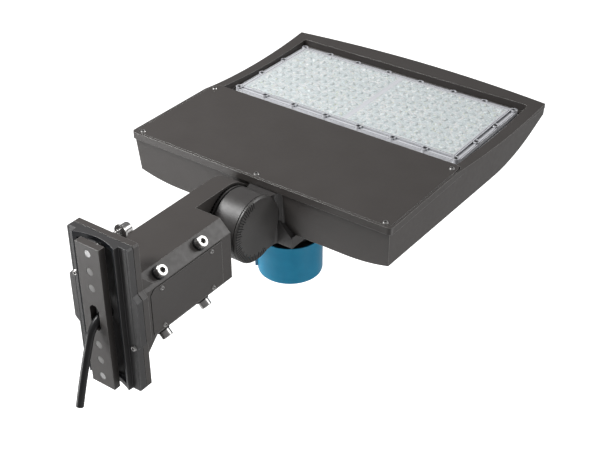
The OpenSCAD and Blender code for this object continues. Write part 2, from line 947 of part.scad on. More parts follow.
// Centres of the light chips on the two boards
module chip_places() {
  x0 = lens_x0 + 17;
  x1 = lens_x0 + lens_l - 17;
  for (s = [1, -1]) {
    for (i = [0 : chip_rows - 1]) {
      for (j = [0 : chip_cols - 1]) {
        translate([
          x0 + (x1 - x0) * i / (chip_rows - 1),
          s * (11 + (152 - 11) * j / (chip_cols - 1)),
          plate_top + 1.6
        ])
          children();
      }
    }
  }
}

module led_chips() {
  color([0.95, 0.85, 0.45])
    translate([rim_x, 0, rim_z])
      chip_places() translate([-1.75, -1.75, 0]) cube([3.5, 3.5, 0.7]);
}

module lens_panel() {
  x1 = lens_x0 + lens_l;
  w = lens_w / 2;
  z1 = lens_z0 + lens_t;
  color(clear)
    translate([rim_x, 0, rim_z])
      difference() {
        union() {
          slab(lens_x0, -w, x1, w, 4, lens_z0, z1 - 2.5);
          slab(lens_x0 + 7, -w + 7, x1 - 7, w - 7, 3, lens_z0, z1);
          lens_screw_places() translate([0, 0, lens_z0]) cylinder(r = 4.5, h = lens_t);
          // One low dome over each light chip
          chip_places() translate([0, 0, z1 - plate_top - 1.6 - 0.5]) lens_dome();
        }
        slab(lens_x0 + 9, -w + 9, x1 - 9, w - 9, 2, lens_z0 - 1, z1 - 2.2);
        lens_screw_places() translate([0, 0, lens_z0 - 1]) cylinder(r = 1.7, h = 20);
        lens_screw_places() translate([0, 0, z1 - 1.6]) cylinder(r = 2.9, h = 20);
      }
}

// Low round lens, turned from its half profile, drawn from 0.5 below the panel
module lens_dome() {
  rotate_extrude()
    polygon([[0, 0], [4.6, 0], [4.1, 1.2], [2.5, 1.9], [0, 2.1]]);
}

module lens_gasket() {
  color(rubber)
    translate([rim_x, 0, rim_z])
      difference() {
        slab(
          lens_x0 + 0.5, -lens_w / 2 + 0.5, lens_x0 + lens_l - 0.5, lens_w / 2 - 0.5,
          4, plate_top, lens_z0
        );
        slab(
          lens_x0 + 8.6, -lens_w / 2 + 8.6, lens_x0 + lens_l - 8.6, lens_w / 2 - 8.6,
          2, plate_top - 1, lens_z0 + 1
        );
        lens_screw_places() translate([0, 0, plate_top - 1]) cylinder(r = 1.7, h = 20);
      }
}

module lens_screws() {
  color(steel)
    translate([rim_x, 0, rim_z])
      lens_screw_places() translate([0, 0, lens_z0 - 4]) pan_screw(3, lens_t + 2.4, 5.2, 1.2);
}

module led_driver() {
  color(black)
    translate([rim_x + 82, -22, rim_z + bay_floor]) {
      difference() {
        union() {
          cube([68, 134, 36]);
          translate([0, -8, 0]) cube([68, 150, 3]);
        }
        for (y = [-4, 138]) {
          translate([34, y, -1]) cylinder(r = 2.3, h = 10);
        }
      }
    }
}

module driver_screws() {
  color(steel)
    for (y = [-26, 116]) {
      translate([rim_x + 116, y, rim_z + bay_floor]) pan_screw(4, 3, 7.5, 2);
    }
}

module surge_protector() {
  color([0.75, 0.2, 0.15])
    translate([rim_x + 90, -112, rim_z + bay_floor])
      difference() {
        union() {
          cube([50, 60, 24]);
          translate([0, -9, 0]) cube([50, 78, 3]);
        }
        for (y = [-5, 65]) {
          translate([25, y, -1]) cylinder(r = 2.3, h = 10);
        }
      }
}

// Three-pole terminal block in the driver bay
module head_terminals() {
  color([0.85, 0.85, 0.8])
    translate([rim_x + 30, 58, rim_z + bay_floor])
      difference() {
        union() {
          cube([22, 44, 9]);
          for (i = [0 : 2]) {
            translate([2, 3 + i * 14, 9 - e]) cube([18, 10, 7]);
          }
        }
        for (i = [0 : 2]) {
          translate([11, 8 + i * 14, 8]) cylinder(r = 3, h = 10);
          translate([-1, 8 + i * 14, 5]) rotate([0, 90, 0]) cylinder(r = 2.2, h = 30);
        }
      }
}

// ---- Light sensor ----

module receptacle_screw_places() {
  for (s = [1, -1]) {
    translate([cell_x + s * 24, mid_y, 0]) children();
  }
}

module receptacle_gasket() {
  color(rubber)
    difference() {
      rod_z(cell_x, mid_y, 33, shoe_z - 1, shoe_z);
      rod_z(cell_x, mid_y, 14, shoe_z - 5, shoe_z + 5);
      receptacle_screw_places() translate([0, 0, -60]) cylinder(r = 2.3, h = 40);
    }
}

// A slot along part of a circle round the sensor's axis
module arc_slot(r, w, a0, a1, z0, z1) {
  translate([cell_x, mid_y, z0])
    rotate([0, 0, a0])
      rotate_extrude(angle = a1 - a0)
        translate([r - w / 2, 0])
          square([w, z1 - z0]);
}

module cell_receptacle() {
  z1 = shoe_z - 1;
  z0 = cell_z1 + 1.2;
  color(black)
    difference() {
      union() {
        rod_z(cell_x, mid_y, 34, z1 - 6, z1);
        rod_z(cell_x, mid_y, 31, z0, z1 - 6 + e);
      }
      // Wiring space behind the contacts
      rod_z(cell_x, mid_y, 13, z1 - 4, z1 + 1);
      // Curved slots that take the three locking blades
      for (k = [0 : 2]) {
        arc_slot(17, 3.2, k * 120 + 10, k * 120 + 75, z0 - 1, z1 - 2.5);
      }
      receptacle_screw_places() translate([0, 0, z0 - 1]) cylinder(r = 2.3, h = 30);
      receptacle_screw_places() translate([0, 0, z0 - 1]) cylinder(r = 4.2, h = 5);
    }
}

module receptacle_contacts() {
  z1 = shoe_z - 1;
  color([0.8, 0.7, 0.4])
    for (k = [0 : 2]) {
      arc_slot(17, 2.8, k * 120 + 10.6, k * 120 + 74.4, z1 - 3.6, z1 - 2.5);
    }
}

module receptacle_screws() {
  z0 = cell_z1 + 1.2;
  color(steel)
    receptacle_screw_places()
      translate([0, 0, shoe_z + 8])
        rotate([180, 0, 0])
          pan_screw(4, shoe_z + 8 - z0 - 4, 8, 2.2);
}

module cell_gasket() {
  color(rubber)
    difference() {
      rod_z(cell_x, mid_y, 30.5, cell_z1, cell_z1 + 0.9);
      rod_z(cell_x, mid_y, 23, cell_z1 - 1, cell_z1 + 2);
    }
}

module cell_base() {
  color(black)
    difference() {
      rod_z(cell_x, mid_y, cell_r - 1.7, cell_z1 - 2.5, cell_z1);
      for (k = [0 : 2]) {
        arc_slot(17, 2.04, k * 120 + 49.9, k * 120 + 72.1, cell_z1 - 5, cell_z1 + 1);
      }
    }
}

module cell_blades() {
  color([0.8, 0.7, 0.4])
    for (k = [0 : 2]) {
      arc_slot(17, 2, k * 120 + 50, k * 120 + 72, cell_z1 - 6, cell_z1 + 11);
    }
}

module cell_cap() {
  r = cell_r;
  color(blue)
    difference() {
      translate([cell_x, mid_y, 0])
        rotate_extrude($fn = 96)
          polygon([
            [0, cell_z0], [r - 2.2, cell_z0], [r - 0.5, cell_z0 + 0.7], [r, cell_z0 + 2.4],
            [r, cell_z1], [r - 1.6, cell_z1], [r - 1.6, cell_z1 - 2.6], [r - 2.4, cell_z1 - 2.6],
            [r - 2.4, cell_z0 + 2.4], [0, cell_z0 + 2.4]
          ]);
      cell_window_place() cube([12, 11, 13], center = true);
    }
}

module cell_window_place() {
  translate([cell_x, mid_y, cell_z0 + 13])
    rotate([0, 0, 130])
      translate([cell_r - 1.5, 0, 0])
        children();
}

module cell_window() {
  color([0.3, 0.55, 0.7])
    cell_window_place()
      translate([1.4, 0, 0])
        cube([6.6, 10.9, 12.9], center = true);
}

module cell_board() {
  color([0.2, 0.4, 0.25])
    difference() {
      rod_z(cell_x, mid_y, 30, cell_z1 - 16, cell_z1 - 14.4);
      rod_z(cell_x, mid_y, 6, cell_z1 - 20, cell_z1 - 10);
    }
}

pole_adapter();
flange_gasket();
arm_body();
backing_bar();
pole_bolts();
pole_bolt_washers();
adapter_screws();
arm_set_bolts();
arm_set_washers();
arm_access_gasket();
arm_access_cover();
access_cover_screws();
pivot_bolt();
pivot_washer();
pivot_nut();
wire_connectors();
cord_bushing();
supply_cord();
knuckle_bracket();
index_cap();
bracket_bolts();
head_housing();
cover_gasket();
driver_cover();
cover_screws();
led_plate();
led_plate_screws();
led_boards();
led_chips();
lens_gasket();
lens_panel();
lens_screws();
led_driver();
driver_screws();
surge_protector();
head_terminals();
receptacle_gasket();
cell_receptacle();
receptacle_contacts();
receptacle_screws();
cell_gasket();
cell_base();
cell_blades();
cell_cap();
cell_window();
cell_board();
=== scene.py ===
# %% [markdown]
# # A shoebox area light, dressed for its picture
#
# The light hangs on a pole: a pole adapter, a square arm, a toothed knuckle
# that sets the tilt, and a flat head with a lens panel over its light boards.
# It is drawn with the lens up, as it lies in the picture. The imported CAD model
# is the frame. This file gives it finishes, soft light and a few pieces that
# the CAD model lacks: the layers at the cord's cut end, and four low plugs.

from math import cos, pi, radians, sin

import bmesh
import bpy
from mathutils import Matrix, Vector


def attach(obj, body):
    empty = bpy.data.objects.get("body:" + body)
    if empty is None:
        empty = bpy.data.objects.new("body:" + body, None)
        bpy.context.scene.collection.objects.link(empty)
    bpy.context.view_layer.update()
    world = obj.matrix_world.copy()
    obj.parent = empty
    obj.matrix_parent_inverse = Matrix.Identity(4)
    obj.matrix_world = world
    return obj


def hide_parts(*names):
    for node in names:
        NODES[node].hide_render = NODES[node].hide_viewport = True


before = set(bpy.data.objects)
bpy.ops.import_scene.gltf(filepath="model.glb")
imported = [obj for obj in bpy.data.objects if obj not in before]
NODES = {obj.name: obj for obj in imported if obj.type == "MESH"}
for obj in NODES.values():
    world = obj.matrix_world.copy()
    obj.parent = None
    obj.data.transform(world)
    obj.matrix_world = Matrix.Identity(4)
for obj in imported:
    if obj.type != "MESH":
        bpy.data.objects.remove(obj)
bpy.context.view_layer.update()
print("CAD nodes:", len(NODES))

# %% [markdown]
# ## Camera
#
# The camera stands where the photograph was taken from: off the pole side, to
# the near left of the arm, and about a third of a right angle above it. A turn
# about the vertical, a height angle and a distance place it. A long focal
# length keeps the head's edges nearly parallel, which is how products are
# photographed.

# %% Camera
MM = 0.001
RIM_CENTRE = Vector((249.9, 0, 38.2))
TURN = radians(-54.214)
RISE = radians(33.534)
ROLL = radians(-0.1413)
EYE_BACK = 1334.457
EYE_RIGHT = 55.556
EYE_DOWN = 57.767


def camera_axes(turn, rise, roll):
    """Right, up and backward directions of a camera turned about Z, then raised."""
    back = Vector((sin(turn) * cos(rise), -cos(turn) * cos(rise), sin(rise)))
    right = Vector((cos(turn), sin(turn), 0))
    up = back.cross(right)
    return (
        cos(roll) * right + sin(roll) * up,
        cos(roll) * up - sin(roll) * right,
        back,
    )


right, up, back = camera_axes(TURN, RISE, ROLL)
eye = EYE_BACK * back + EYE_RIGHT * right - EYE_DOWN * up + RIM_CENTRE
axes = Matrix((right, up, back)).transposed().to_4x4()

camera_data = bpy.data.cameras.new("camera")
camera_data.sensor_width = 36
camera_data.lens = 68.889
camera = bpy.data.objects.new("camera", camera_data)
camera.matrix_world = Matrix.Translation(eye * MM) @ axes
bpy.context.scene.collection.objects.link(camera)
bpy.context.scene.camera = camera
print("camera at, m:", [round(c * MM, 3) for c in eye])

# %% [markdown]
# ## Route of the supply cord
#
# A short end of supply cord comes out of the rubber bushing, bends through the
# slot in the backing bar and droops to a cut end. The bend is an arc and the
# rest is a line that steepens, so a few points are enough. They are the same
# points as those of the CAD model's plain cord.

# %% Route of the cord
BEND = 32
BEND_END = 64
DROOP_FROM = (-24.76, -18.97)
DROOP_BY = (-26.24, -76.03)
DROOP_STEPS = 6


def cord_points():
    """Out of the bushing, round a bend and down, in metres in the X-Z plane."""
    points = [(6, -1)]
    for a in range(0, BEND_END + 1, 8):
        points.append((4 - BEND * sin(radians(a)), -1 - BEND * (1 - cos(radians(a)))))
    for step in range(1, DROOP_STEPS + 1):
        t = step / DROOP_STEPS
        eased = t * (1.15 - 0.15 * t)
        points.append((DROOP_FROM[0] + DROOP_BY[0] * eased, DROOP_FROM[1] + DROOP_BY[1] * t))
    return [Vector((x, 0, z)) * MM for x, z in points]


def way(route, i):
    """Direction of a route at one of its points."""
    return (route[min(i + 1, len(route) - 1)] - route[max(i - 1, 0)]).normalized()


def length_of(route):
    return sum((b - a).length for a, b in zip(route, route[1:]))


route = cord_points()
print("cord length, mm:", round(length_of(route) / MM, 1))

# %% [markdown]
# ## A tube along a route
#
# A bevelled curve would do for a plain tube, but a bmesh lets the cut end have
# layers. Rings of vertices stand along the route, square to it, and
# bridge_loops joins each ring to the next. The two ends are closed with a
# face, because an open tube shows its inside.

# %% Tubes
def ring_at(bm, centre, along, radius, sides):
    """A ring of vertices square to a direction in the X-Z plane."""
    made = bmesh.ops.create_circle(bm, radius=radius, segments=sides)["verts"]
    across = Vector((0, 1, 0))
    turn = Matrix((across, along.cross(across), along)).transposed().to_4x4()
    bmesh.ops.transform(bm, matrix=turn, verts=made)
    bmesh.ops.translate(bm, vec=centre, verts=made)
    return made


def edges_within(verts):
    """Edges with both ends among these vertices."""
    chosen = set(verts)
    return list({e for v in verts for e in v.link_edges if set(e.verts) <= chosen})


def tube_along(bm, route, radius, sides):
    """Bridges a ring at each point of the route, and closes both ends."""
    rings = [ring_at(bm, p, way(route, i), radius, sides) for i, p in enumerate(route)]
    for one, two in zip(rings, rings[1:]):
        bmesh.ops.bridge_loops(bm, edges=edges_within(one) + edges_within(two))
    for end in (rings[0], rings[-1]):
        bmesh.ops.contextual_create(bm, geom=edges_within(end))


# %% Finish a piece
SHARP = radians(32)


def finish_piece(bm, name, body):
    """Turns a bmesh into a smooth-shaded piece with hard corners, riding on a body."""
    bmesh.ops.recalc_face_normals(bm, faces=bm.faces)
    for face in bm.faces:
        face.smooth = True
    for edge in bm.edges:
        edge.smooth = len(edge.link_faces) == 2 and edge.calc_face_angle(0) < SHARP
    mesh = bpy.data.meshes.new(name)
    bm.to_mesh(mesh)
    bm.free()
    piece = bpy.data.objects.new(name, mesh)
    bpy.context.scene.collection.objects.link(piece)
    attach(piece, body)
    print(name, "faces:", len(mesh.polygons))
    return piece


# %% [markdown]
# ## The cord and its cut end
#
# A supply cord has a jacket round three insulated cores, and copper in each
# core.

# %% Jacket
CORD_R = 4.4 * MM

bm = bmesh.new()
tube_along(bm, route, CORD_R, 40)
cord = finish_piece(bm, "cord", "arm")
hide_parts("supply_cord")

# %% Cores and copper
CORE_RING = 1.75 * MM
CORE_R = 1.45 * MM
COPPER_R = 0.75 * MM
CORE_DEPTH = 3 * MM

end = route[-1]
along = way(route, len(route) - 1)
side = Vector((0, 1, 0))
low = along.cross(side)
bm_cores = bmesh.new()
bm_wires = bmesh.new()
for k in range(3):
    angle = radians(90 + 120 * k)
    middle = end + (side * cos(angle) + low * sin(angle)) * CORE_RING
    inner_end = middle - along * CORE_DEPTH
    tube_along(bm_cores, [inner_end, middle + along * 0.25 * MM], CORE_R, 20)
    tube_along(bm_wires, [inner_end, middle + along * 0.4 * MM], COPPER_R, 14)
cores = finish_piece(bm_cores, "cord_cores", "arm")
wires = finish_piece(bm_wires, "cord_copper", "arm")

# %% [markdown]
# ## Plugs in the backing bar
#
# The backing bar's four spare holes are closed by low round plugs, which show
# as paler discs in the photograph. Each is a disc whose outer face is inset
# and raised a little, which gives it a soft rim.

# %% Bar plugs
BAR_FACE = -14.5 * MM
PLUG_R = 4.3 * MM
PLUG_DEEP = 2.2 * MM
PLUG_MIDDLE = BAR_FACE + 1.35 * MM
PLUG_STEPS = ((0.5, 0.1), (1.4, 0.08), (1.4, 0.03))

bm = bmesh.new()
for z in (-57, -36.5, 36.5, 57):
    place = Matrix.Translation((PLUG_MIDDLE, 0, z * MM)) @ Matrix.Rotation(pi / 2, 4, "Y")
    bmesh.ops.create_cone(
        bm, cap_ends=True, segments=40, radius1=PLUG_R, radius2=PLUG_R, depth=PLUG_DEEP, matrix=place,
    )
front = [f for f in bm.faces if f.normal.x < -0.9]
for inward, out in PLUG_STEPS:
    bmesh.ops.inset_individual(bm, faces=front, thickness=inward * MM, depth=out * MM)
plugs = finish_piece(bm, "bar_plugs", "arm")

# %% [markdown]
# ## Node helpers
#
# Materials and the sky are trees of nodes. Three small helpers keep the code
# short: one empties a tree, one adds a Math node, and one adds a Map Range
# node. A value may be a number or another node's output.

# %% Node helpers
def new_nodes(tree):
    tree.nodes.clear()
    return tree.nodes, tree.links


def maths(nodes, links, operation, *values):
    """A Math node. Its values are numbers or other nodes' outputs."""
    node = nodes.new("ShaderNodeMath")
    node.operation = operation
    for value, place in zip(values, node.inputs):
        if isinstance(value, (int, float)):
            place.default_value = value
        else:
            links.new(value, place)
    return node.outputs[0]


def spread(nodes, links, value, low, high, start=0.3, stop=0.7):
    """Maps start to stop onto low to high. A noise's middle range is the default."""
    spot = nodes.new("ShaderNodeMapRange")
    for socket, number in (("From Min", start), ("From Max", stop), ("To Min", low), ("To Max", high)):
        spot.inputs[socket].default_value = number
    links.new(value, spot.inputs["Value"])
    return spot.outputs["Result"]


# %% [markdown]
# ## Sky
#
# The picture has a pure white ground. More light would bleach the object, so
# the Light Path node does it: rays that come straight from the camera, or pass
# through clear plastic, see a strength of 1, which is white. All other rays,
# which light the object or are mirrored in it, see a plain level.

# %% Sky
SKY_LIGHT = 0.225


def white_to_the_eye(nodes, links):
    """1 for rays that come straight from the camera, or through clear plastic."""
    path = nodes.new("ShaderNodeLightPath")
    return maths(
        nodes, links, "MAXIMUM", path.outputs["Is Camera Ray"], path.outputs["Is Transmission Ray"]
    )


world = bpy.data.worlds.new("studio")
world.use_nodes = True
bpy.context.scene.world = world
nodes, links = new_nodes(world.node_tree)
sky = nodes.new("ShaderNodeBackground")
sky.inputs["Color"].default_value = (1, 1, 1, 1)
level = spread(nodes, links, white_to_the_eye(nodes, links), SKY_LIGHT, 1.0, 0, 1)
links.new(level, sky.inputs["Strength"])
links.new(sky.outputs[0], nodes.new("ShaderNodeOutputWorld").inputs["Surface"])
print("sky level for lighting:", SKY_LIGHT)

# %% [markdown]
# ## Lamps
#
# Four soft panels shape the object. A wide key panel stands at the near right,
# so the chamfers and the sides that face it are a little brighter than the
# tops. One panel high on the far pole side gives the knuckle's round side its
# highlight, a small one lifts the near side, and a low one lights the pole end.

# %% Lamps
CENTRE = Vector((0.3, 0, 0))


def softbox(name, place, size, watts):
    """A square panel that faces the middle of the object."""
    light = bpy.data.lights.new(name, "AREA")
    light.shape = "SQUARE"
    light.size = size
    light.energy = watts
    lamp = bpy.data.objects.new(name, light)
    lamp.location = place
    lamp.visible_camera = False
    lamp.rotation_euler = (Vector(place) - CENTRE).to_track_quat("Z", "Y").to_euler()
    bpy.context.scene.collection.objects.link(lamp)
    print(name, "watts:", watts)


softbox("key_panel", (2.9, -2.4, 2.05), 1.5, 57)
softbox("top_panel", (-0.15, 0.7, 0.95), 0.5, 16.5)
softbox("near_panel", (0.27, -0.52, -0.16), 0.25, 0.5)
softbox("low_left_panel", (-0.75, 0.85, -0.25), 0.5, 5.5)

# %% [markdown]
# ## Floor
#
# The floor is far below, as the object hangs on a pole. It is a large disc of
# matt paper. To the camera it also glows, to be as white as the sky behind it.
# The light that falls on the paper comes on top of that and takes it past
# white, so the wide, faint shadow is lost in the picture.

# %% Floor
FLOOR_Z = -0.56
FLOOR_R = 9
FLOOR_LIFT = 0.95

bm = bmesh.new()
bmesh.ops.create_circle(bm, cap_ends=True, radius=FLOOR_R, segments=64)
bmesh.ops.translate(bm, vec=(CENTRE.x, 0, FLOOR_Z), verts=bm.verts)
mesh = bpy.data.meshes.new("floor")
bm.to_mesh(mesh)
bm.free()
floor = bpy.data.objects.new("floor", mesh)
bpy.context.scene.collection.objects.link(floor)

# %% White paper
paper = bpy.data.materials.new("white_paper")
paper.use_nodes = True
nodes, links = new_nodes(paper.node_tree)
matt = nodes.new("ShaderNodeBsdfDiffuse")
matt.inputs["Color"].default_value = (0.8, 0.8, 0.8, 1)
glow = nodes.new("ShaderNodeEmission")
glow.inputs["Color"].default_value = (1, 1, 1, 1)
lift = maths(nodes, links, "MULTIPLY", white_to_the_eye(nodes, links), FLOOR_LIFT)
links.new(lift, glow.inputs["Strength"])
both = nodes.new("ShaderNodeAddShader")
links.new(matt.outputs[0], both.inputs[0])
links.new(glow.outputs[0], both.inputs[1])
links.new(both.outputs[0], nodes.new("ShaderNodeOutputMaterial").inputs["Surface"])
floor.data.materials.append(paper)
bpy.context.scene.view_settings.view_transform = "Standard"
print("floor at, m:", FLOOR_Z)

# %% [markdown]
# ## Building blocks of a finish
#
# Every finish here is a small recipe on the Principled shader: two near
# colours mixed by a noise, a roughness that wanders a little, and a fine bump.
# The patterns read Object coordinates, which are metres on this object, so a
# scale of 1000 is a grain of about a millimetre. That is better than an image,
# because it has no seams and any distance shows the right detail.

# %% Shader, noise and mixes
def principled(name):
    """A new material with its shader, and its node tree's nodes and links."""
    material = bpy.data.materials.new(name)
    material.use_nodes = True
    nodes, links = new_nodes(material.node_tree)
    shader = nodes.new("ShaderNodeBsdfPrincipled")
    links.new(shader.outputs[0], nodes.new("ShaderNodeOutputMaterial").inputs["Surface"])
    return material, nodes, links, shader


def here(nodes):
    """Object coordinates of the point being shaded, in metres."""
    return nodes.new("ShaderNodeTexCoord").outputs["Object"]


def here_xyz(nodes, links):
    """The same, as three separate numbers."""
    axes = nodes.new("ShaderNodeSeparateXYZ")
    links.new(here(nodes), axes.inputs["Vector"])
    return axes.outputs


def noise(nodes, links, scale, detail=2.0, stretch=None):
    """Noise on Object coordinates. A stretch scales it along each axis."""
    place = here(nodes)
    if stretch:
        mapping = nodes.new("ShaderNodeMapping")
        mapping.inputs["Scale"].default_value = stretch
        links.new(place, mapping.inputs["Vector"])
        place = mapping.outputs["Vector"]
    texture = nodes.new("ShaderNodeTexNoise")
    texture.inputs["Scale"].default_value = scale
    texture.inputs["Detail"].default_value = detail
    links.new(place, texture.inputs["Vector"])
    return texture.outputs["Fac"]


def blend_colours(nodes, links, factor, one, two):
    """From one, a colour or another node's output, to the colour two."""
    mix = nodes.new("ShaderNodeMix")
    mix.data_type = "RGBA"
    if isinstance(one, tuple):
        mix.inputs["A"].default_value = (*one, 1)
    else:
        links.new(one, mix.inputs["A"])
    mix.inputs["B"].default_value = (*two, 1)
    links.new(factor, mix.inputs["Factor"])
    return mix.outputs["Result"]


def bump(nodes, links, shader, height, depth, normal):
    """Raises the surface by a height, on top of an earlier normal."""
    node = nodes.new("ShaderNodeBump")
    node.inputs["Distance"].default_value = depth
    links.new(height, node.inputs["Height"])
    links.new(normal, node.inputs["Normal"])
    links.new(node.outputs["Normal"], shader.inputs["Normal"])


# %% [markdown]
# ## Edges and corners
#
# No casting has a knife edge. A Bevel node rounds the corners that light sees,
# without new faces. Where it turns the surface away from its true direction
# there is an edge, which gets a painted highlight, a much lighter colour, and a
# smoother coat. An Ambient Occlusion node darkens recesses with painted shade,
# where little light comes.

# %% Rounded edges and dark recesses
def rounded(nodes, radius):
    bevel = nodes.new("ShaderNodeBevel")
    bevel.samples = 6
    bevel.inputs["Radius"].default_value = radius
    return bevel.outputs["Normal"]


def edge_amount(nodes, links, round_normal, gain):
    """0 on flats, rising to the gain where the rounded normal leaves the true one."""
    dot = nodes.new("ShaderNodeVectorMath")
    dot.operation = "DOT_PRODUCT"
    links.new(round_normal, dot.inputs[0])
    links.new(nodes.new("ShaderNodeNewGeometry").outputs["Normal"], dot.inputs[1])
    return spread(nodes, links, dot.outputs["Value"], gain, 0.0, 0.78, 0.995)


def shaded(nodes, links, colour, reach, darkest):
    """Darkens a colour in corners and recesses with painted shade, where little light comes."""
    near = nodes.new("ShaderNodeAmbientOcclusion")
    near.samples = 8
    near.inputs["Distance"].default_value = reach
    mix = nodes.new("ShaderNodeMix")
    mix.data_type = "RGBA"
    mix.inputs["A"].default_value = (0, 0, 0, 1)
    links.new(colour, mix.inputs["B"])
    links.new(spread(nodes, links, near.outputs["AO"], darkest, 1, 0.25, 0.95), mix.inputs["Factor"])
    return mix.outputs["Result"]


def edge_shine(nodes, links, wear_and_edge_highlight, rough):
    """Edges are rubbed smoother than the flats."""
    mix = nodes.new("ShaderNodeMix")
    mix.data_type = "FLOAT"
    links.new(wear_and_edge_highlight, mix.inputs["Factor"])
    links.new(rough, mix.inputs["A"])
    mix.inputs["B"].default_value = 0.3
    return mix.outputs["Result"]


# %% [markdown]
# ## Powder coats
#
# The castings have a dark bronze powder coat with a fine orange-peel skin. The
# knuckle, its scale cap and the pole adapter are more neutral. The plugs get a
# much lighter copy of the coat, a painted reflection of light on their faces.
# One function makes them all, because they differ only in colour and in how
# their edges and recesses look.

# %% Powder coats
CLOUD_GRAIN = 22
SKIN_GRAIN = 160
SKIN_ROUGH = (0.38, 0.44)
PEEL_GRAIN = 900
PEEL_DEPTH = 0.018 * MM
EDGE_GAIN = 0.8


def coated(name, dark, light, edge, radius=0.75 * MM, reach=4.5 * MM, darkest=0.5):
    """Powder coat: two near colours, a fine orange-peel grain, painted highlights on edges."""
    material, nodes, links, shader = principled(name)
    cloud = noise(nodes, links, CLOUD_GRAIN, 3)
    round_normal = rounded(nodes, radius)
    colour = blend_colours(nodes, links, spread(nodes, links, cloud, 0, 1), dark, light)
    # Painted highlight: on edges the colour turns toward the much lighter edge colour.
    wear_and_edge_highlight = edge_amount(nodes, links, round_normal, EDGE_GAIN)
    colour = blend_colours(nodes, links, wear_and_edge_highlight, colour, edge)
    # Painted shade darkens the colour in corners and recesses.
    links.new(shaded(nodes, links, colour, reach, darkest), shader.inputs["Base Color"])
    skin = spread(nodes, links, noise(nodes, links, SKIN_GRAIN, 2), *SKIN_ROUGH)
    links.new(edge_shine(nodes, links, wear_and_edge_highlight, skin), shader.inputs["Roughness"])
    bump(nodes, links, shader, noise(nodes, links, PEEL_GRAIN, 2), PEEL_DEPTH, round_normal)
    print(name)
    return material


# The third colour of each coat is its painted edge highlight.
bronze = coated(
    "bronze_powder_coat", (0.060, 0.054, 0.051), (0.066, 0.060, 0.057), (0.48, 0.47, 0.455),
)
knuckle_coat = coated(
    "knuckle_satin_coat", (0.052, 0.049, 0.048), (0.060, 0.057, 0.056), (0.16, 0.155, 0.15),
    reach=1.8 * MM, darkest=0.15,
)
scale_coat = coated(
    "scale_cap_coat", (0.060, 0.057, 0.055), (0.068, 0.065, 0.063), (0.16, 0.155, 0.15),
    radius=0.5 * MM, reach=1.8 * MM, darkest=0.15,
)
adapter_coat = coated(
    "adapter_coat", (0.043, 0.042, 0.043), (0.049, 0.048, 0.049), (0.32, 0.32, 0.33),
)
# The plugs' pale colour is a painted reflection of light on their faces.
plug_coat = coated(
    "plug_coat", (0.24, 0.235, 0.23), (0.28, 0.275, 0.27), (0.34, 0.335, 0.33), darkest=0.7,
)

# %% [markdown]
# ## Paint in one place
#
# The adapter's hollow looks almost black in the photograph, as it lies in deep
# shade. A second material would need its own faces, and the CAD mesh stays as
# it is. So the finish asks where it is: inside a box of Object coordinates, a
# near-black painted shade is blended over its own colour.

# %% Painted shade in the pole adapter's hollow
def shader_of(material):
    return next(n for n in material.node_tree.nodes if n.type == "BSDF_PRINCIPLED")


def paint_over(material, amount, colour):
    """Blends a colour over a finish's own base colour."""
    nodes, links = material.node_tree.nodes, material.node_tree.links
    base = shader_of(material).inputs["Base Color"]
    under = base.links[0].from_socket
    links.new(blend_colours(nodes, links, amount, under, colour), base)


def between(nodes, links, value, low, high):
    """1 from low to high, else 0."""
    return maths(nodes, links, "COMPARE", value, (low + high) / 2, (high - low) / 2)


def darker_where(material, low, high, colour):
    """Paints a box of Object coordinates, from low to high, in another colour."""
    nodes, links = material.node_tree.nodes, material.node_tree.links
    axes = here_xyz(nodes, links)
    inside = between(nodes, links, axes["X"], low[0], high[0])
    for k, axis in ((1, "Y"), (2, "Z")):
        also = between(nodes, links, axes[axis], low[k], high[k])
        inside = maths(nodes, links, "MULTIPLY", inside, also)
    paint_over(material, inside, colour)


HOLLOW_LOW = (-0.0061, -0.0284, -0.1)
HOLLOW_HIGH = (0.004, 0.0284, 0.0908)
# Painted shade: the hollow is blended toward near black.
darker_where(adapter_coat, HOLLOW_LOW, HOLLOW_HIGH, (0.011, 0.013, 0.017))
print("hollow painted, m:", HOLLOW_LOW, HOLLOW_HIGH)

# %% [markdown]
# ## Dark paint in the scale's ticks
#
# The knuckle's cap has a tick every 5 degrees round part of its rim, to read
# the tilt by. They are cut in the CAD solid, but a millimetre is hard to see
# from a step away, so the finish paints them near black. It finds its angle
# about the knuckle's axis, and Ping-Pong gives how far off the nearest tick
# that is.

# %% Ticks of the tilt scale
AXIS_X = 0.210
HUB_R = 41 * MM
HUB_FACE = -38 * MM
TICK_INNER = HUB_R - 8.5 * MM
TICK_OUTER = HUB_R - 0.4 * MM
TICK_HALF = 0.7 * MM
TICK_TURN = radians(5)
SCALE_GAP_MIDDLE = radians(15)
SCALE_GAP_HALF = radians(84)


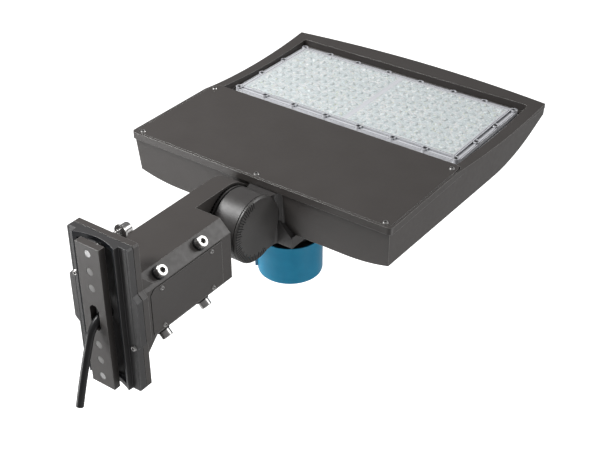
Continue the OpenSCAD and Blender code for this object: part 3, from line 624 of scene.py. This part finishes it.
def paint_ticks_dark(material):
    """Dark paint along the ticks round the rim of the cap, which looks along -Y."""
    nodes, links = material.node_tree.nodes, material.node_tree.links

    def sum_up(operation, *values):
        return maths(nodes, links, operation, *values)

    axes = here_xyz(nodes, links)
    aside = sum_up("SUBTRACT", axes["X"], AXIS_X)
    out = sum_up("SQRT", sum_up("MULTIPLY_ADD", aside, aside, sum_up("POWER", axes["Z"], 2)))
    angle = sum_up("ARCTAN2", axes["Z"], aside)
    off_tick = sum_up("MULTIPLY", sum_up("PINGPONG", angle, TICK_TURN / 2), out)
    on_tick = sum_up("LESS_THAN", off_tick, TICK_HALF)
    from_gap = sum_up("ABSOLUTE", sum_up("SUBTRACT", angle, SCALE_GAP_MIDDLE))
    on_arc = sum_up("GREATER_THAN", from_gap, SCALE_GAP_HALF)
    on_rim = between(nodes, links, out, TICK_INNER, TICK_OUTER)
    in_front = sum_up("LESS_THAN", axes["Y"], HUB_FACE + 1 * MM)
    amount = sum_up("MULTIPLY", sum_up("MULTIPLY", on_tick, on_arc), sum_up("MULTIPLY", on_rim, in_front))
    paint_over(material, amount, (0.004, 0.004, 0.004))


paint_ticks_dark(scale_coat)
print("tick ring, mm:", round(TICK_INNER / MM, 1), round(TICK_OUTER / MM, 1))

# %% [markdown]
# ## Metals
#
# Screws, bolts and plates are bare metal. Turning and rolling leave fine marks,
# which one noise gives to the colour, the roughness and the bump together, so
# that they agree. A stretched noise makes the marks run one way, as on rolled
# plate.

# %% Metals
def metal(name, colour, tint, rough, grain=900, stretch=(1, 1, 1)):
    """Bare metal with fine turning or rolling marks."""
    material, nodes, links, shader = principled(name)
    marks = noise(nodes, links, grain, 3, stretch)
    colour = blend_colours(nodes, links, marks, colour, tint)
    # Painted shade darkens the colour in sockets and corners.
    links.new(shaded(nodes, links, colour, 2 * MM, 0.3), shader.inputs["Base Color"])
    shader.inputs["Metallic"].default_value = 1.0
    links.new(spread(nodes, links, marks, *rough), shader.inputs["Roughness"])
    bump(nodes, links, shader, marks, 0.02 * MM, rounded(nodes, 0.25 * MM))
    print(name)
    return material


stainless = metal("stainless_steel", (0.47, 0.46, 0.45), (0.62, 0.61, 0.60), (0.30, 0.44))
bolt_steel = metal("threaded_steel", (0.52, 0.51, 0.50), (0.70, 0.69, 0.68), (0.22, 0.34))
dull_steel = metal("dull_steel", (0.16, 0.16, 0.16), (0.24, 0.24, 0.24), (0.38, 0.5))
# The washers under the arm's set bolts are near black: painted shade under the bolt heads.
dark_washer = metal("dark_washer", (0.035, 0.035, 0.037), (0.06, 0.06, 0.062), (0.4, 0.5))
aluminium = metal("plate_aluminium", (0.66, 0.67, 0.68), (0.78, 0.79, 0.80), (0.35, 0.5), 400, (1, 12, 1))
brass = metal("contact_brass", (0.72, 0.52, 0.24), (0.82, 0.62, 0.32), (0.22, 0.38))
copper = metal("copper_strands", (0.70, 0.33, 0.18), (0.85, 0.45, 0.26), (0.25, 0.45), 3000, (1, 1, 0.1))

# %% [markdown]
# ## Thread on the pole bolts
#
# The pole bolts are M8, with a pitch of 1.25 mm. A modelled helix would cost
# thousands of faces for what looks like fine stripes, so a Wave texture along
# the bolt raises the ridges instead, on the shank only. The flat ends of the
# bolts are duller than their sides.

# %% Thread
PITCH = 1.25 * MM
THREAD_FROM = -0.05
THREAD_TO = 0.0365
BOLT_END_LOW = (-0.0153, -0.01, -0.1)
BOLT_END_HIGH = (-0.0138, 0.01, 0.1)


def threaded(material, pitch, from_x, to_x):
    """Adds the ridges of a screw thread to a metal on a bolt that lies along X."""
    nodes, links = material.node_tree.nodes, material.node_tree.links
    ridges = nodes.new("ShaderNodeTexWave")
    ridges.bands_direction = "X"
    ridges.inputs["Scale"].default_value = 2 * pi / (20 * pitch)
    links.new(here(nodes), ridges.inputs["Vector"])
    on_shank = between(nodes, links, here_xyz(nodes, links)["X"], from_x, to_x)
    height = maths(nodes, links, "MULTIPLY", ridges.outputs["Fac"], on_shank)
    shader = shader_of(material)
    under = shader.inputs["Normal"].links[0].from_socket
    bump(nodes, links, shader, height, 0.6 * MM, under)


threaded(bolt_steel, PITCH, THREAD_FROM, THREAD_TO)
darker_where(bolt_steel, BOLT_END_LOW, BOLT_END_HIGH, (0.38, 0.38, 0.38))
print("thread pitch, mm:", PITCH / MM)


# %% [markdown]
# ## Rubber and plastics
#
# Moulded parts have an even colour that drifts a little, a skin from the
# mould, and small soft corners. Rubber is rougher than plastic, and the blue
# cap of the light sensor is smoother. The same function makes them all, and
# takes any other socket of the shader by its name.

# %% Rubber and plastics
def moulded(name, one, two, rough=(0.35, 0.5), grain=1400, depth=0.02 * MM, **sockets):
    """Moulded plastic or rubber: a quiet colour drift and a fine skin."""
    material, nodes, links, shader = principled(name)
    drift = spread(nodes, links, noise(nodes, links, 60, 2), 0, 1)
    links.new(blend_colours(nodes, links, drift, one, two), shader.inputs["Base Color"])
    links.new(spread(nodes, links, noise(nodes, links, 300, 2), *rough), shader.inputs["Roughness"])
    for socket, number in sockets.items():
        shader.inputs[socket.replace("_", " ")].default_value = number
    bump(nodes, links, shader, noise(nodes, links, grain, 2), depth, rounded(nodes, 0.3 * MM))
    print(name)
    return material


rubber = moulded("black_rubber", (0.012, 0.012, 0.012), (0.02, 0.02, 0.02), (0.65, 0.8), 800, 0.04 * MM)
pale_seal = moulded("pale_silicone", (0.42, 0.42, 0.44), (0.50, 0.50, 0.52), (0.5, 0.65), 800, 0.03 * MM)
jacket = moulded("cord_jacket", (0.012, 0.012, 0.013), (0.018, 0.018, 0.019), (0.28, 0.4), 500, 0.03 * MM)
core_cover = moulded("core_insulation", (0.55, 0.55, 0.53), (0.65, 0.65, 0.63))
black_plastic = moulded("black_plastic", (0.012, 0.012, 0.013), (0.018, 0.018, 0.019))
cap_blue = moulded(
    "sensor_cap_blue", (0.012, 0.26, 0.46), (0.014, 0.29, 0.50), (0.30, 0.38), 900, 0.015 * MM,
    Specular_IOR_Level=0.3,
)
window_blue = moulded("sensor_window", (0.05, 0.22, 0.36), (0.07, 0.26, 0.42), (0.15, 0.22))

# %% [markdown]
# ## Finishes of the inside
#
# The driver, the light boards, the surge protector and the connectors are
# behind the covers and the lens. They get the usual colours of such parts, so
# that the model is also right when it is opened.

# %% Inside
lever = moulded("lever_orange", (0.62, 0.25, 0.06), (0.70, 0.30, 0.08))
driver_paint = moulded("driver_case", (0.30, 0.31, 0.32), (0.36, 0.37, 0.38), (0.4, 0.55))
surge = moulded("surge_red", (0.42, 0.035, 0.025), (0.50, 0.05, 0.035))
terminal = moulded("terminal_white", (0.62, 0.61, 0.56), (0.70, 0.69, 0.64))
sensor_board = moulded("board_green", (0.03, 0.12, 0.05), (0.04, 0.15, 0.06), (0.3, 0.4))
board_mask = moulded("board_white", (0.78, 0.80, 0.80), (0.84, 0.86, 0.86), (0.35, 0.5), 2500, 0.01 * MM)
phosphor = moulded("chip_phosphor", (0.80, 0.76, 0.52), (0.86, 0.82, 0.60), (0.4, 0.55))

# %% [markdown]
# ## Where the lens has facets
#
# The lens is moulded in plastic that is clear but set with many small facets,
# so that it looks milky from outside. A plain band stays free of them down the
# middle and round the edge, where the real lens is flat. These helpers find
# the faceted zone, and the thin lines painted dark round the clear flange: they
# stand for the seal seen through it and, at its step, for painted shade.

# %% Zones of the lens
LENS_CENTRE_X = 0.5129
LENS_HALF_X = 0.081
LENS_HALF_Y = 0.170
FACETS_X = (0.441, 0.580)
FACETS_Y = (0.0045, 0.158)
FLANGE_LINES = (1.4 * MM, 6.6 * MM, 8.8 * MM)


def band(nodes, links, value, low, high, soft):
    """1 between low and high, falling off to 0 over a soft distance."""
    rise = spread(nodes, links, value, 0, 1, low - soft, low)
    fall = spread(nodes, links, value, 1, 0, high, high + soft)
    return maths(nodes, links, "MULTIPLY", rise, fall)


def facet_zone(nodes, links):
    """1 over the two light boards, else 0, from Object coordinates."""
    axes = here_xyz(nodes, links)
    aside = maths(nodes, links, "ABSOLUTE", axes["Y"])
    along = band(nodes, links, axes["X"], *FACETS_X, 2 * MM)
    across = band(nodes, links, aside, *FACETS_Y, 2 * MM)
    return maths(nodes, links, "MULTIPLY", along, across)


def flange_line(nodes, links, inset):
    """1 on a thin line that runs round the panel, set in from its edge."""
    axes = here_xyz(nodes, links)
    along = maths(nodes, links, "ABSOLUTE", maths(nodes, links, "SUBTRACT", axes["X"], LENS_CENTRE_X))
    across = maths(nodes, links, "ABSOLUTE", axes["Y"])
    past_end = maths(nodes, links, "SUBTRACT", along, LENS_HALF_X)
    past_side = maths(nodes, links, "SUBTRACT", across, LENS_HALF_Y)
    past_edge = maths(nodes, links, "MAXIMUM", past_end, past_side)
    return maths(nodes, links, "COMPARE", past_edge, -inset, 0.4 * MM)


# %% [markdown]
# ## Lens material
#
# A share of transmission lets the boards show through faintly. Voronoi cells
# do the facets: their distance tilts the surface inside each cell, so a few of
# them catch a lamp and glitter. Their random colour picks a few cells to be
# painted near white, a painted glint, and a few to be warmer. Real facets would
# be tens of thousands of faces.

# %% Lens plastic
FACET = 2.6 * MM
MILK = (0.82, 0.83, 0.87)
FACET_MILK = (0.82, 0.885, 0.90)


def facets(nodes, links):
    """Voronoi cells: their distance, and two random numbers for each cell."""
    cells = nodes.new("ShaderNodeTexVoronoi")
    cells.inputs["Scale"].default_value = 1 / FACET
    links.new(here(nodes), cells.inputs["Vector"])
    number = nodes.new("ShaderNodeSeparateColor")
    links.new(cells.outputs["Color"], number.inputs["Color"])
    return cells.outputs["Distance"], number.outputs[0], number.outputs[1]


clear, nodes, links, shader = principled("clear_lens")
zone = facet_zone(nodes, links)
distance, chance, second_chance = facets(nodes, links)
milk = blend_colours(nodes, links, zone, MILK, FACET_MILK)
# Painted glint: a few facet cells are painted near white.
painted_glint = spread(nodes, links, chance, 0, 1, 0.74, 0.80)
milk = blend_colours(nodes, links, maths(nodes, links, "MULTIPLY", painted_glint, zone), milk, (0.99, 1.0, 1.0))
warm = spread(nodes, links, second_chance, 0, 0.5, 0.95, 0.97)
milk = blend_colours(nodes, links, maths(nodes, links, "MULTIPLY", warm, zone), milk, (0.86, 0.90, 0.70))
# Dark lines painted round the flange: the seal seen through it, and painted shade at its step.
for inset in FLANGE_LINES:
    milk = blend_colours(nodes, links, flange_line(nodes, links, inset), milk, (0.20, 0.205, 0.23))
# Painted shade darkens the lens next to the parts round it.
links.new(shaded(nodes, links, milk, 2 * MM, 0.72), shader.inputs["Base Color"])
shader.inputs["IOR"].default_value = 1.49
shader.inputs["Transmission Weight"].default_value = 0.22
links.new(spread(nodes, links, noise(nodes, links, 40, 2), 0.14, 0.24), shader.inputs["Roughness"])
height = maths(nodes, links, "MULTIPLY", distance, zone)
bump(nodes, links, shader, height, 0.9 * MM, rounded(nodes, 0.6 * MM))
print("facets, mm:", round(FACET / MM, 2))

# %% [markdown]
# ## Give the pieces their finishes
#
# Each CAD node comes with a slot named for its material. One table turns slot
# names into finishes, and a second names the few nodes that differ from the
# rest of their slot. The new pieces get theirs directly.

# %% Finishes by slot and by node
FINISH = {
    "bronze_casting": bronze, "bronze_steel": bronze, "black_casting": knuckle_coat,
    "stainless": stainless, "black_rubber": rubber, "cord_jacket": jacket,
    "lever_orange": lever, "plate_aluminium": aluminium, "board_white": board_mask,
    "chip_phosphor": phosphor, "clear_lens": clear, "driver_case": driver_paint,
    "surge_red": surge, "terminal_white": terminal, "black_plastic": black_plastic,
    "contact_brass": brass, "sensor_blue": cap_blue, "sensor_window": window_blue,
    "board_green": sensor_board,
}
OWN_FINISH = {
    "pole_bolts": bolt_steel, "lens_gasket": pale_seal, "arm_set_washers": dark_washer,
    "lens_screws": dull_steel, "pole_adapter": adapter_coat, "index_cap": scale_coat,
}
for name, node in NODES.items():
    for place in node.material_slots:
        place.material = OWN_FINISH.get(name) or FINISH[place.material.name.split(".")[0]]
for piece, finish in ((cord, jacket), (plugs, plug_coat), (cores, core_cover), (wires, copper)):
    piece.data.materials.append(finish)
print("finishes:", len(FINISH) + len(OWN_FINISH))
